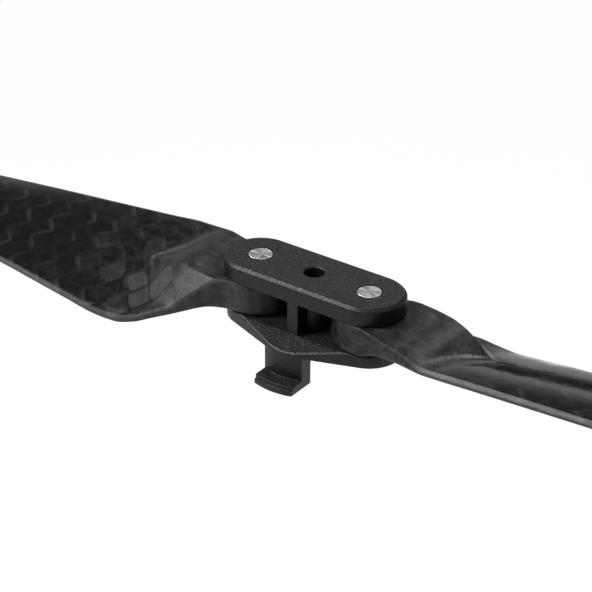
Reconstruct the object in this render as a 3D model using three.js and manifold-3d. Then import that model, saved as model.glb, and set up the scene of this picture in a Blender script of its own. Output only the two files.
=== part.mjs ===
// A folding two-blade propeller for a small drone. A moulded hub twists on to the motor by two
// bayonet legs. Each carbon-fibre blade swings on a bush round a turned pin, between two thin
// washers, in the hub's slot.
// Millimetres, +Z up along the spin axis, +X along the blades. The origin is on the spin axis, at
// the level of the hub's underside, which sits on the motor. The propeller turns clockwise seen
// from above.
import * as THREE from "three";
import { ParametricGeometry } from "three/addons/geometries/ParametricGeometry.js";
import { mergeVertices } from "three/addons/utils/BufferGeometryUtils.js";
import Module from "manifold-3d";

const wasm = await Module();
wasm.setup();

// ---- Driving dimensions ----
const TIP_RADIUS = 105.4;
const PIVOT_OFFSET = 8; // from the spin axis to each pin
const PIN_RADIUS = 1.5;
const RUNNING_GAP = 0.04; // between a shaft and its hole

const TOP_PLATE = { thickness: 2.3, radius: 4.5, chamfer: 0.42 };
const LOWER_PLATE = { thickness: 1.7, endRadius: 4.2, centreRadius: 6.9, rimDrop: 1.28 };
const SLOT_HEIGHT = 4.2; // between the plates, where the blade roots swing
const BORE_RADIUS = 1.275;
const BORE_RIM = 0.13; // the chamfer round the top of the centre bore
const BOSS_RADIUS = 2.5;
const RIB_WIDTH = 1.5;

const LEG = { halfWidth: 2.75, innerRadius: 5.25, reach: 4.2 };
const FOOT = { radius: 8.9, height: 1.2, step: 0.25, stepHeight: 0.65, corner: 0.15 };

const ROOT = { height: 3.9, endRadius: 4.45, corner: 0.35 };
const BUSH_RADIUS = 2.2;
const WASHER = { radius: 3.2, thickness: 0.3, proud: 0.1 };
const PIN = { edge: 0.15, lowEnd: 0.1, topSunk: 0.03 }; // its chamfer, and how far each end is sunk

// ---- Levels worked out from them ----
const SLOT_FLOOR = LOWER_PLATE.thickness;
const SLOT_ROOF = SLOT_FLOOR + SLOT_HEIGHT;
const HUB_TOP = SLOT_ROOF + TOP_PLATE.thickness;
const ROOT_MIDDLE = SLOT_FLOOR + SLOT_HEIGHT / 2;

const ROUND_SEGMENTS = 32; // round a full circle
const ARC_SEGMENTS = 10; // along a drawn arc
const PAST = 1; // how far a cut runs past the faces it goes through

// ---- Solids ----
// A closed geometry as a solid, with the triangles that collapse at a pole left out.
function solid(geometry) {
  geometry.deleteAttribute("normal");
  geometry.deleteAttribute("uv");
  const merged = mergeVertices(geometry);
  const corners = merged.index.array;
  const triangles = [];
  for (let i = 0; i < corners.length; i += 3) {
    const [a, b, c] = corners.slice(i, i + 3);
    if (a !== b && b !== c && c !== a) triangles.push(a, b, c);
  }
  return new wasm.Manifold(
    new wasm.Mesh({
      numProp: 3,
      vertProperties: merged.getAttribute("position").array,
      triVerts: new Uint32Array(triangles),
    }),
  );
}

function meshOf(name, body, material) {
  const { vertProperties, triVerts } = body.getMesh();
  const geometry = new THREE.BufferGeometry();
  geometry.setAttribute("position", new THREE.BufferAttribute(vertProperties, 3));
  geometry.setIndex(new THREE.BufferAttribute(triVerts, 1));
  geometry.computeVertexNormals();
  const mesh = new THREE.Mesh(geometry, material);
  mesh.name = name;
  return mesh;
}

// An upright cylinder between two levels.
function post(radius, low, high, x = 0, y = 0) {
  const geometry = new THREE.CylinderGeometry(radius, radius, high - low, ROUND_SEGMENTS);
  geometry.rotateX(Math.PI / 2);
  geometry.translate(x, y, (low + high) / 2);
  return solid(geometry);
}

// A block given by its two opposite corners.
function block(low, high) {
  const geometry = new THREE.BoxGeometry(high[0] - low[0], high[1] - low[1], high[2] - low[2]);
  geometry.translate((low[0] + high[0]) / 2, (low[1] + high[1]) / 2, (low[2] + high[2]) / 2);
  return solid(geometry);
}

// An upright prism of an outline drawn in plan. edge rounds its top and bottom edges, in edgeSteps steps.
function prism(outline, low, high, edge = 0, edgeSteps = 1) {
  const geometry = new THREE.ExtrudeGeometry(outline, {
    depth: high - low - 2 * edge,
    curveSegments: ARC_SEGMENTS,
    bevelEnabled: edge > 0,
    bevelThickness: edge,
    bevelSize: edge,
    bevelOffset: -edge,
    bevelSegments: edgeSteps,
  });
  geometry.translate(0, 0, low + edge);
  return solid(geometry);
}

// A solid of revolution about the spin axis, from a closed profile of [radius, height] points.
function turned(profile) {
  const points = [...profile, profile[0]].map(([radius, height]) => new THREE.Vector2(radius, height));
  const geometry = new THREE.LatheGeometry(points, ROUND_SEGMENTS);
  geometry.rotateX(Math.PI / 2);
  return solid(geometry);
}

// ---- The hub ----
// The top plate's plan: a straight-sided slot shape round both pins.
function topPlateOutline() {
  const outline = new THREE.Shape();
  outline.absarc(PIVOT_OFFSET, 0, TOP_PLATE.radius, -Math.PI / 2, Math.PI / 2);
  outline.absarc(-PIVOT_OFFSET, 0, TOP_PLATE.radius, Math.PI / 2, (3 * Math.PI) / 2);
  outline.closePath();
  return outline;
}

// The lower plate's plan: a disc round the spin axis and one round each pin, joined by their outer
// tangents.
function lowerPlateOutline() {
  const { endRadius, centreRadius } = LOWER_PLATE;
  const tangent = Math.acos((centreRadius - endRadius) / PIVOT_OFFSET);
  const outline = new THREE.Shape();
  outline.absarc(PIVOT_OFFSET, 0, endRadius, -tangent, tangent);
  outline.absarc(0, 0, centreRadius, tangent, Math.PI - tangent);
  outline.absarc(-PIVOT_OFFSET, 0, endRadius, Math.PI - tangent, Math.PI + tangent);
  outline.absarc(0, 0, centreRadius, Math.PI + tangent, 2 * Math.PI - tangent);
  outline.closePath();
  return outline;
}

// The top plate, chamfered round its upper edge only: its lower chamfer is cut off.
function topPlate() {
  const { chamfer } = TOP_PLATE;
  const span = 2 * PIVOT_OFFSET;
  const plate = prism(topPlateOutline(), SLOT_ROOF - chamfer, HUB_TOP, chamfer);
  return plate.subtract(block([-span, -span, SLOT_ROOF - span], [span, span, SLOT_ROOF]));
}

// What is cut off the lower plate's wing, so that its upper face falls from the slot's side to the rim.
function wingSlope() {
  const { centreRadius, rimDrop } = LOWER_PLATE;
  const start = TOP_PLATE.radius;
  const past = 2 * centreRadius - start; // as far past the rim as the slope is long
  const section = new THREE.Shape();
  section.moveTo(start, SLOT_FLOOR);
  section.lineTo(past, SLOT_FLOOR - (rimDrop * (past - start)) / (centreRadius - start));
  section.lineTo(past, SLOT_FLOOR + PAST);
  section.lineTo(start, SLOT_FLOOR + PAST);
  section.closePath();
  const length = 2 * centreRadius;
  const geometry = new THREE.ExtrudeGeometry(section, { depth: length, bevelEnabled: false });
  geometry.translate(0, 0, -length / 2);
  geometry.rotateZ(Math.PI / 2);
  geometry.rotateY(Math.PI / 2);
  return solid(geometry);
}

// The plan of a pad between two circles about the spin axis, on the -Y side, with straight sides along Y.
function padOutline(innerRadius, outerRadius, corner = 0) {
  const across = LEG.halfWidth;
  const outer = Math.asin((across - corner) / outerRadius);
  const inner = Math.asin(across / innerRadius);
  const sideEnd = corner - Math.sqrt(outerRadius ** 2 - across ** 2);
  const down = -Math.PI / 2;
  const outline = new THREE.Shape();
  outline.absarc(0, 0, outerRadius, down - outer, down + outer);
  outline.lineTo(across, sideEnd);
  outline.absarc(0, 0, innerRadius, down + inner, down - inner, true);
  outline.lineTo(-across, sideEnd);
  outline.closePath();
  return outline;
}

// One bayonet leg, on the -Y side, with its foot. The foot's lower half stands a little proud.
function leg() {
  const sole = -LEG.reach;
  const stemPlan = padOutline(LEG.innerRadius, LOWER_PLATE.centreRadius);
  const upperPlan = padOutline(LEG.innerRadius, FOOT.radius - FOOT.step, FOOT.corner);
  const lowerPlan = padOutline(LEG.innerRadius, FOOT.radius, FOOT.corner);
  const stem = prism(stemPlan, sole, SLOT_FLOOR - LOWER_PLATE.rimDrop);
  const upperFoot = prism(upperPlan, sole, sole + FOOT.height);
  const lowerFoot = prism(lowerPlan, sole, sole + FOOT.stepHeight);
  return stem.add(upperFoot).add(lowerFoot);
}

function halfTurn(body) {
  return body.rotate([0, 0, 180]);
}

// The cone that chamfers the top of the centre bore.
function boreChamfer() {
  return turned([
    [0, HUB_TOP + BORE_RIM],
    [0, HUB_TOP - BORE_RADIUS - BORE_RIM],
    [BORE_RADIUS + 2 * BORE_RIM, HUB_TOP + BORE_RIM],
  ]);
}

function hub() {
  const ribLow = SLOT_FLOOR / 2; // the rib and the boss run from inside one plate to inside the other
  const ribHigh = SLOT_ROOF + TOP_PLATE.thickness / 2;
  const rib = block(
    [-RIB_WIDTH / 2, -TOP_PLATE.radius, ribLow],
    [RIB_WIDTH / 2, TOP_PLATE.radius, ribHigh],
  );
  const boss = post(BOSS_RADIUS, ribLow, ribHigh);
  const slope = wingSlope();
  const plate = prism(lowerPlateOutline(), 0, SLOT_FLOOR);
  const lowerPlate = plate.subtract(slope).subtract(halfTurn(slope));
  const oneLeg = leg();
  const whole = topPlate().add(lowerPlate).add(rib).add(boss).add(oneLeg).add(halfTurn(oneLeg));
  let body = whole.subtract(post(BORE_RADIUS, -PAST, HUB_TOP + PAST)).subtract(boreChamfer());
  for (const x of [-PIVOT_OFFSET, PIVOT_OFFSET]) {
    body = body.subtract(post(PIN_RADIUS + RUNNING_GAP, -PAST, HUB_TOP + PAST, x));
  }
  return body;
}

// ---- What is on each pivot, drawn about the pin's own axis ----
function pivotPin() {
  const low = PIN.lowEnd;
  const high = HUB_TOP - PIN.topSunk;
  return turned([
    [0, low],
    [PIN_RADIUS - PIN.edge, low],
    [PIN_RADIUS, low + PIN.edge],
    [PIN_RADIUS, high - PIN.edge],
    [PIN_RADIUS - PIN.edge, high],
    [0, high],
  ]);
}

function ring(innerRadius, outerRadius, low, high) {
  return turned([
    [innerRadius, low],
    [outerRadius, low],
    [outerRadius, high],
    [innerRadius, high],
  ]);
}

// How far the washer's recess goes into the root, above and below.
const RECESS_DEPTH = WASHER.thickness - WASHER.proud + RUNNING_GAP;

function rootBush() {
  const reach = ROOT.height / 2 - RECESS_DEPTH;
  return ring(PIN_RADIUS + RUNNING_GAP, BUSH_RADIUS, ROOT_MIDDLE - reach, ROOT_MIDDLE + reach);
}

// side is +1 for the upper washer and -1 for the lower one.
function washer(side) {
  const outside = ROOT_MIDDLE + side * (ROOT.height / 2 + WASHER.proud);
  const inside = outside - side * WASHER.thickness;
  const low = Math.min(inside, outside);
  return ring(PIN_RADIUS + RUNNING_GAP, WASHER.radius, low, low + WASHER.thickness);
}

// ---- The blade ----
// How the blade runs from its root to its tip. radius is from the spin axis. Each edge has its place
// across the blade, its height over the middle of the root and its thickness. The leading edge is at
// -Y and the higher one.
const STATIONS = [
  { radius: 8, lead: [-4.45, 0, 3.9], trail: [4.45, 0, 3.9], camber: 0, crown: 0 },
  { radius: 9.5, lead: [-4.6, 0.05, 3.8], trail: [4.62, 0, 3.9], camber: 0, crown: 0 },
  { radius: 11, lead: [-4.95, 0.4, 3.1], trail: [5.05, -0.15, 3.7], camber: 0, crown: 0.1 },
  { radius: 12, lead: [-5.2, 0.6, 2.6], trail: [5.62, -0.65, 2.7], camber: 0, crown: 0.2 },
  { radius: 13.5, lead: [-5.65, 0.77, 2], trail: [6.6, -1.65, 1.5], camber: 0.1, crown: 0.35 },
  { radius: 15.5, lead: [-6.2, 0.84, 1.4], trail: [7.85, -2.62, 1.1], camber: 0.25, crown: 0.6 },
  { radius: 18, lead: [-6.85, 0.95, 1.08], trail: [9.55, -3.48, 1], camber: 0.4, crown: 0.75 },
  { radius: 20, lead: [-7.2, 1.02, 1], trail: [10.45, -4.27, 0.9], camber: 0.5, crown: 0.8 },
  { radius: 22.5, lead: [-7.1, 1.03, 0.9], trail: [11.05, -4.77, 0.8], camber: 0.6, crown: 0.9 },
  { radius: 26, lead: [-6.6, 0.9, 0.95], trail: [11.33, -4.58, 0.7], camber: 0.6, crown: 0.9 },
  { radius: 30, lead: [-6.1, 0.76, 0.94], trail: [11.22, -4.06, 0.67], camber: 0.6, crown: 0.89 },
  { radius: 44, lead: [-4.45, 0.3, 0.85], trail: [10.5, -2.65, 0.6], camber: 0.55, crown: 0.75 },
  { radius: 60, lead: [-2.55, -0.28, 0.75], trail: [9.8, -1.77, 0.55], camber: 0.45, crown: 0.55 },
  { radius: 75, lead: [-0.7, -0.45, 0.65], trail: [9, -1.45, 0.5], camber: 0.35, crown: 0.4 },
  { radius: 90, lead: [1.6, -0.5, 0.55], trail: [8.2, -1.05, 0.45], camber: 0.2, crown: 0.2 },
  { radius: TIP_RADIUS, lead: [5.2, -0.5, 0.4], trail: [7.4, -0.7, 0.4], camber: 0.05, crown: 0 },
];
// The root's hump runs out along the blade: the height of its top and the place of its rear edge,
// which goes on to the tip as the line that the sections share.
const HUMP = [
  { radius: 8, top: 1.95, rear: 4.5 },
  { radius: 11.5, top: 1.95, rear: 4.9 },
  { radius: 14, top: 1.95, rear: 4.7 },
  { radius: 16.5, top: 1.95, rear: 4.25 },
  { radius: 19, top: 1.6, rear: 3.7 },
  { radius: 20.5, top: 1.1, rear: 3.3 },
  { radius: 22.5, top: 0.3, rear: 2.6 },
  { radius: 24.5, top: -0.6, rear: 2 },
  { radius: 28, top: -2.5, rear: 2 },
  { radius: TIP_RADIUS, top: -2.5, rear: 6.4 },
];
const HUMP_SLOPE = 1.15; // how steeply the hump's rear face falls to the blade
const HUMP_BLEND = { root: 0.35, end: 1.2 }; // over how much height it runs into the blade
const HUMP_ROLL = { drop: 0.25, width: 5 }; // how far the hump's end falls away in front
const HUMP_ENDS = [18.5, 22]; // between these radii it goes from the root's form to the end's
const CROWN_PLACE = 0.35; // where along the chord the blade is thickest
const TIP_ROUNDING = 7; // how far from the tip the chord starts to round off
const TIP_RAKE = 0.75; // where along the chord the round tip ends
const TIP_THICKNESS = 0.35; // how much of the thickness is left there
const TIP_REACH = 0.999; // how far into the rounding the last section is
const NOSE_FORMS = [12, 18]; // between these radii the edges go from a small round to a full nose
const NECK_END = 27; // inside this radius the sections are NECK_STEP apart
const NECK_STEP = 1;
const OUTER_SECTIONS = 13; // from the neck to where the tip starts to round off
const TIP_SECTIONS = 6;

// A smooth curve through hand-placed values that never overshoots them.
function through(rows, value) {
  const at = rows.map((row) => row.radius);
  const level = rows.map(value);
  const slope = rows.map((row, i) => {
    if (i === 0 || i === rows.length - 1) return 0;
    const before = (level[i] - level[i - 1]) / (at[i] - at[i - 1]);
    const after = (level[i + 1] - level[i]) / (at[i + 1] - at[i]);
    return before * after > 0 ? (2 * before * after) / (before + after) : 0;
  });
  return (radius) => {
    const r = THREE.MathUtils.clamp(radius, at[0], at[at.length - 1]);
    const i = Math.min(at.findLastIndex((a) => a <= r), at.length - 2);
    const gap = at[i + 1] - at[i];
    const t = (r - at[i]) / gap;
    const start = (1 + 2 * t) * (1 - t) ** 2;
    const rise = t * (1 - t) ** 2 * gap * slope[i] - t * t * (1 - t) * gap * slope[i + 1];
    return level[i] * start + level[i + 1] * (1 - start) + rise;
  };
}

const leadY = through(STATIONS, (s) => s.lead[0]);
const leadZ = through(STATIONS, (s) => s.lead[1]);
const leadThickness = through(STATIONS, (s) => s.lead[2]);
const trailY = through(STATIONS, (s) => s.trail[0]);
const trailZ = through(STATIONS, (s) => s.trail[1]);
const trailThickness = through(STATIONS, (s) => s.trail[2]);
const camber = through(STATIONS, (s) => s.camber);
const crown = through(STATIONS, (s) => s.crown);
const humpTop = through(HUMP, (s) => s.top);
const humpRear = through(HUMP, (s) => s.rear);

// The larger of two heights, rounded where they meet.
function smoothMax(a, b, blend) {
  const share = THREE.MathUtils.clamp(0.5 + (a - b) / (2 * blend), 0, 1);
  return THREE.MathUtils.lerp(b, a, share) + blend * share * (1 - share) * 0.5;
}

// The two edges at a radius, drawn in to a round end near the tip.
function edges(radius) {
  const from = TIP_RADIUS - TIP_ROUNDING;
  const share = Math.max(0, (radius - from) / TIP_ROUNDING);
  const open = Math.sqrt(Math.max(0, 1 - share ** 2));
  const lead = leadY(radius);
  const trail = trailY(radius);
  const rake = THREE.MathUtils.lerp(lead, trail, TIP_RAKE);
  return [THREE.MathUtils.lerp(rake, lead, open), THREE.MathUtils.lerp(rake, trail, open), open];
}

// How much of the blade's thickness is left where the tip has closed the chord to a share, open.
function thinning(open) {
  return THREE.MathUtils.lerp(TIP_THICKNESS, 1, open);
}

// The heights of the lower and upper faces at a place across the blade, share of the chord behind
// the leading edge.
function faces(radius, y, share, open) {
  const middle = THREE.MathUtils.lerp(leadZ(radius), trailZ(radius), share);
  const arch = camber(radius) * 4 * share * (1 - share);
  const peak = share < CROWN_PLACE ? share / CROWN_PLACE : (1 - share) / (1 - CROWN_PLACE);
  const full = THREE.MathUtils.lerp(leadThickness(radius), trailThickness(radius), share);
  const thickness = (full + crown(radius) * Math.sin((peak * Math.PI) / 2)) * thinning(open);
  const plate = middle + arch + thickness / 2;
  const behind = y - humpRear(radius);
  const ending = THREE.MathUtils.smoothstep(radius, ...HUMP_ENDS);
  const roll = HUMP_ROLL.drop * ending * THREE.MathUtils.smoothstep(-behind, 0, HUMP_ROLL.width);
  const hump = humpTop(radius) - HUMP_SLOPE * Math.max(0, behind) - roll;
  const blend = THREE.MathUtils.lerp(HUMP_BLEND.root, HUMP_BLEND.end, ending);
  return [middle + arch - thickness / 2, smoothMax(plate, hump, blend)];
}

const CORNER_STEPS = 2;
const FRONT_STEPS = 5; // from the leading corner to the hump's rear edge
const REAR_STEPS = 5; // from there to the trailing corner
const RIDGE_LIMIT = 0.98; // how near to the trailing corner the hump's rear edge may come
const SIDE_STEPS = 2 * CORNER_STEPS + FRONT_STEPS + REAR_STEPS;

// How round an edge is: a small round on the root, and a full nose on the blade.
function cornerRadius(radius, thickness, open, chord) {
  const nose = Math.min((thickness / 2) * thinning(open), chord / 3);
  return THREE.MathUtils.lerp(ROOT.corner, nose, THREE.MathUtils.smoothstep(radius, ...NOSE_FORMS));
}

// Where a section's step lies across the blade, and how far the round of an edge takes it in from
// the face.
function acrossSection(radius, step) {
  const [lead, trail, open] = edges(radius);
  const leadCorner = cornerRadius(radius, leadThickness(radius), open, trail - lead);
  const trailCorner = cornerRadius(radius, trailThickness(radius), open, trail - lead);
  const fromTrail = SIDE_STEPS - step;
  if (step < CORNER_STEPS) {
    const angle = ((step / CORNER_STEPS) * Math.PI) / 2;
    return [lead + leadCorner * (1 - Math.cos(angle)), leadCorner * (1 - Math.sin(angle))];
  }
  if (fromTrail < CORNER_STEPS) {
    const angle = ((fromTrail / CORNER_STEPS) * Math.PI) / 2;
    return [trail - trailCorner * (1 - Math.cos(angle)), trailCorner * (1 - Math.sin(angle))];
  }
  const first = lead + leadCorner;
  const last = trail - trailCorner;
  const ridge = Math.min(humpRear(radius), THREE.MathUtils.lerp(first, last, RIDGE_LIMIT));
  const ahead = step - CORNER_STEPS;
  if (ahead <= FRONT_STEPS) return [THREE.MathUtils.lerp(first, ridge, ahead / FRONT_STEPS), 0];
  return [THREE.MathUtils.lerp(ridge, last, (ahead - FRONT_STEPS) / REAR_STEPS), 0];
}

// The point of a section that is step steps behind the leading edge, on the upper or the lower face.
function sectionPoint(radius, step, upper, target) {
  const [lead, trail, open] = edges(radius);
  const [y, inset] = acrossSection(radius, step);
  const [low, high] = faces(radius, y, (y - lead) / (trail - lead), open);
  const middle = (low + high) / 2;
  const height = upper ? Math.max(high - inset, middle) : Math.min(low + inset, middle);
  target.set(radius, y, ROOT_MIDDLE + height);
}

// The radii of the sections: close together along the neck and at the round tip.
function sectionRadii() {
  const radii = [];
  for (let r = PIVOT_OFFSET; r < NECK_END; r += NECK_STEP) radii.push(r);
  const tipStart = TIP_RADIUS - TIP_ROUNDING;
  for (let i = 0; i < OUTER_SECTIONS; i += 1) {
    radii.push(THREE.MathUtils.lerp(NECK_END, tipStart, i / OUTER_SECTIONS));
  }
  for (let i = 0; i <= TIP_SECTIONS; i += 1) {
    const angle = ((i / TIP_SECTIONS) * Math.PI) / 2;
    radii.push(tipStart + TIP_ROUNDING * TIP_REACH * Math.sin(angle));
  }
  return radii;
}

// The blade from the pin outwards, as one skin of sections closed by a point at each end.
function bladeSkin() {
  const radii = sectionRadii();
  const loop = 2 * (SIDE_STEPS + 1);
  const rows = radii.length + 1;
  const geometry = new ParametricGeometry(
    (u, v, target) => {
      const row = Math.round(v * rows);
      const radius = radii[THREE.MathUtils.clamp(row - 1, 0, radii.length - 1)];
      if (row === 0 || row === rows) {
        const [lead, trail] = edges(radius);
        sectionPoint(radius, CORNER_STEPS + FRONT_STEPS, true, target);
        const high = target.z;
        sectionPoint(radius, CORNER_STEPS + FRONT_STEPS, false, target);
        target.set(radius, (lead + trail) / 2, (high + target.z) / 2);
        return;
      }
      const step = Math.round((1 - u) * loop) % loop;
      const upper = step <= SIDE_STEPS;
      sectionPoint(radius, upper ? step : loop - 1 - step, upper, target);
    },
    loop,
    rows,
  );
  return solid(geometry);
}

// The rounded inner end of the root, about the pin, up to the blade's first section.
function rootEnd() {
  const { endRadius, height, corner } = ROOT;
  const low = ROOT_MIDDLE - height / 2;
  const outline = new THREE.Shape();
  outline.moveTo(0, -endRadius);
  outline.lineTo(0, endRadius);
  outline.absarc(0, 0, endRadius, Math.PI / 2, (3 * Math.PI) / 2);
  outline.closePath();
  return prism(outline, low, low + height, corner, CORNER_STEPS).translate([PIVOT_OFFSET, 0, 0]);
}

// The right-hand blade, with its bush hole and the two washer recesses.
function blade() {
  const low = ROOT_MIDDLE - ROOT.height / 2;
  const high = ROOT_MIDDLE + ROOT.height / 2;
  const hole = post(BUSH_RADIUS + RUNNING_GAP, low - PAST, high + PAST, PIVOT_OFFSET);
  const recess = WASHER.radius + RUNNING_GAP;
  const lowerRecess = post(recess, low - PAST, low + RECESS_DEPTH, PIVOT_OFFSET);
  const upperRecess = post(recess, high - RECESS_DEPTH, high + PAST, PIVOT_OFFSET);
  return bladeSkin().add(rootEnd()).subtract(hole).subtract(lowerRecess).subtract(upperRecess);
}

// ---- The assembly ----
const nylon = new THREE.MeshStandardMaterial({ color: 0x26272a, roughness: 0.75, metalness: 0 });
const steel = new THREE.MeshStandardMaterial({ color: 0xb4b4b2, roughness: 0.35, metalness: 1 });
const carbon = new THREE.MeshStandardMaterial({ color: 0x2a2b2d, roughness: 0.3, metalness: 0 });
const brass = new THREE.MeshStandardMaterial({ color: 0xb08d4a, roughness: 0.35, metalness: 1 });
const lowFriction = new THREE.MeshStandardMaterial({ color: 0xd8d6cf, roughness: 0.5, metalness: 0 });

const propeller = new THREE.Group();
propeller.add(meshOf("hub", hub(), nylon));

// One side: the blade, and on its pivot the pin, the bush and the washers. The left side is the
// same, turned half round.
function side(name, turn) {
  const half = new THREE.Group();
  half.rotation.z = turn;
  half.add(meshOf(`blade_${name}`, blade(), carbon));
  const pivot = new THREE.Group();
  pivot.position.x = PIVOT_OFFSET;
  pivot.add(meshOf(`pivot_pin_${name}`, pivotPin(), steel));
  pivot.add(meshOf(`root_bush_${name}`, rootBush(), brass));
  pivot.add(meshOf(`washer_upper_${name}`, washer(1), lowFriction));
  pivot.add(meshOf(`washer_lower_${name}`, washer(-1), lowFriction));
  half.add(pivot);
  return half;
}

propeller.add(side("right", 0));
propeller.add(side("left", Math.PI));

export default propeller;
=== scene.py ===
from bisect import bisect_right
from contextlib import contextmanager
from math import acos, asin, cos, pi, radians, sin, sqrt

import bmesh
import bpy
from mathutils import Matrix, Vector


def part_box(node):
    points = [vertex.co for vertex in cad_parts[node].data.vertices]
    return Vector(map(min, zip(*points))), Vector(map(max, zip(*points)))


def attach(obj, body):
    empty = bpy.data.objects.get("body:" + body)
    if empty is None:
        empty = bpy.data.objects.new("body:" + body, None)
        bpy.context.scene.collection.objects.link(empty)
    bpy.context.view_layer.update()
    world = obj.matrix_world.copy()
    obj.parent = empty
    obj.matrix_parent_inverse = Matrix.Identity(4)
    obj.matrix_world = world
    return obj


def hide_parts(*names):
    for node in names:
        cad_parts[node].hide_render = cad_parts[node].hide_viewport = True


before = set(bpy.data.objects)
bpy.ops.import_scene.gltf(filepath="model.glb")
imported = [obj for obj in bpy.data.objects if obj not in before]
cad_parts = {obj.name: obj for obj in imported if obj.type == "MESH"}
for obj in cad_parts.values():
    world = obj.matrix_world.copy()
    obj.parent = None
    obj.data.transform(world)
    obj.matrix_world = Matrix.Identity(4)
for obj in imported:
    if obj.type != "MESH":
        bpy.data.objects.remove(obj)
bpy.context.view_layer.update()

# The meshes are drawn in millimetres, and put into metres as they are made.
MM = 0.001


# ---- Sizes, from the frame where a node's box gives them ----
def box_of(node):
    low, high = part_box(node)
    return low / MM, high / MM


HUB_LOW, HUB_HIGH = box_of("hub")
PIN_LOW, PIN_HIGH = box_of("pivot_pin_right")
BUSH_LOW, BUSH_HIGH = box_of("root_bush_right")

PIVOT = (PIN_LOW.x + PIN_HIGH.x) / 2
PIN_RADIUS = PIN_HIGH.x - PIVOT
BUSH_RADIUS = BUSH_HIGH.x - PIVOT
WASHER_RADIUS = box_of("washer_upper_right")[1].x - PIVOT
ROOT_MIDDLE = (BUSH_LOW.z + BUSH_HIGH.z) / 2
TIP_RADIUS = box_of("blade_right")[1].x
HUB_TOP = HUB_HIGH.z
SOLE = HUB_LOW.z
FOOT_RADIUS = HUB_HIGH.y
TOP_RADIUS = HUB_HIGH.x - PIVOT
GAP = 0.04  # round a shaft in its hole

SLOT_FLOOR = 1.7
SLOT_ROOF = 5.9
TOP_CHAMFER = 0.42
END_RADIUS = 4.2
CENTRE_RADIUS = 6.9
RIM_DROP = 1.28
RIM_CHAMFER = 0.26
WING_FALL = RIM_DROP / (CENTRE_RADIUS - TOP_RADIUS)
CREASE_OUT = 0.03  # the wings start to fall this far outside the slot
BORE_RADIUS = 1.275
BORE_RIM = 0.13
BOSS_RADIUS = 2.5
RIB_WIDTH = 1.5
LEG_HALF_WIDTH = 2.75
LEG_INNER = 5.25
FOOT_HEIGHT = 1.2
FOOT_STEP = 0.25
FOOT_STEP_HEIGHT = 0.65
ROOT_RADIUS = 4.45
ROOT_HEIGHT = 3.9
ROOT_CORNER = 0.35
ROOT_LOW = ROOT_MIDDLE - ROOT_HEIGHT / 2
ROOT_HIGH = ROOT_MIDDLE + ROOT_HEIGHT / 2

HUB_EDGE = 0.09  # the round on the moulding's edges
PIN_CHAMFER = 0.07
PIN_EDGE = 0.03
RING_EDGE = 0.04
EDGE_STEPS = 4  # round one edge
ROUND_STEPS = 128  # round a full circle
ROUNDED_OVER = radians(35)  # edges sharper than this are rounded
SHARP_OVER = radians(25)  # edges sharper than this are shaded as edges
BLADE_SHARP_OVER = radians(40)
PAST = 1  # how far a cut runs past the faces it goes through
FAR = HUB_HIGH.x + PAST  # outside the hub

# How close together points are one point, how thin a face is no face, and how nearly level two
# faces are one face, in metres and radians.
SAME_POINT = 1e-7
NO_FACE = 1e-8
CLEAN_POINT = 0.015 * MM
CLEAN_FACE = 0.002 * MM
CLEAN_LEVEL = radians(0.3)


# ---- Making meshes ----
def object_of(name, mesh):
    thing = bpy.data.objects.new(name, mesh)
    bpy.context.scene.collection.objects.link(thing)
    return thing


@contextmanager
def editing(mesh):
    """The mesh opened for bmesh's tools, and closed again afterwards."""
    work = bmesh.new()
    work.from_mesh(mesh)
    yield work
    work.to_mesh(mesh)
    work.free()


def object_from(name, points, faces):
    """An object of points in millimetres and faces of their indices, with its faces turned out."""
    mesh = bpy.data.meshes.new(name)
    mesh.from_pydata([Vector(p) * MM for p in points], [], faces)
    with editing(mesh) as work:
        bmesh.ops.recalc_face_normals(work, faces=work.faces)
    return object_of(name, mesh)


def skin(name, rows):
    """A closed skin through rows of points, with the same number in each, capped at both ends."""
    count = len(rows[0])
    points = [p for row in rows for p in row]
    faces = [list(range(count)), list(range(len(points) - count, len(points)))]
    for r in range(len(rows) - 1):
        for i in range(count):
            j = (i + 1) % count
            faces.append([r * count + i, r * count + j, (r + 1) * count + j, (r + 1) * count + i])
    return object_from(name, points, faces)


def prism(name, outline, low, high):
    """An upright prism of an outline in plan."""
    return skin(name, [[(x, y, z) for x, y in outline] for z in (low, high)])


def arc(x, y, radius, start, end, steps=None):
    """Points along an arc in plan, with both its ends."""
    steps = steps or max(2, round(abs(end - start) / (2 * pi) * ROUND_STEPS))
    angles = [start + (end - start) * i / steps for i in range(steps + 1)]
    return [(x + radius * cos(a), y + radius * sin(a)) for a in angles]


def circle(x, y, radius):
    return arc(x, y, radius, 0, 2 * pi)[:-1]


def post(name, radius, low, high, x=0.0, y=0.0):
    return prism(name, circle(x, y, radius), low, high)


def block(name, low, high):
    outline = [(low[0], low[1]), (high[0], low[1]), (high[0], high[1]), (low[0], high[1])]
    return prism(name, outline, low[2], high[2])


def turned(name, profile, x=0.0):
    """A solid of revolution about an upright axis, from a closed profile of (radius, height)."""
    points = []
    for step in range(ROUND_STEPS):
        angle = 2 * pi * step / ROUND_STEPS
        points += [(x + r * cos(angle), r * sin(angle), z) for r, z in profile]
    count = len(profile)
    faces = []
    for step in range(ROUND_STEPS):
        here = step * count
        there = (step + 1) % ROUND_STEPS * count
        for i in range(count):
            j = (i + 1) % count
            faces.append([here + i, there + i, there + j, here + j])
    thing = object_from(name, points, faces)
    with editing(thing.data) as work:
        bmesh.ops.remove_doubles(work, verts=work.verts, dist=SAME_POINT)
        bmesh.ops.dissolve_degenerate(work, edges=work.edges, dist=NO_FACE)
        loose = [edge for edge in work.edges if not edge.link_faces]
        bmesh.ops.delete(work, geom=loose, context="EDGES")
        bmesh.ops.recalc_face_normals(work, faces=work.faces)
    return thing


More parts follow.
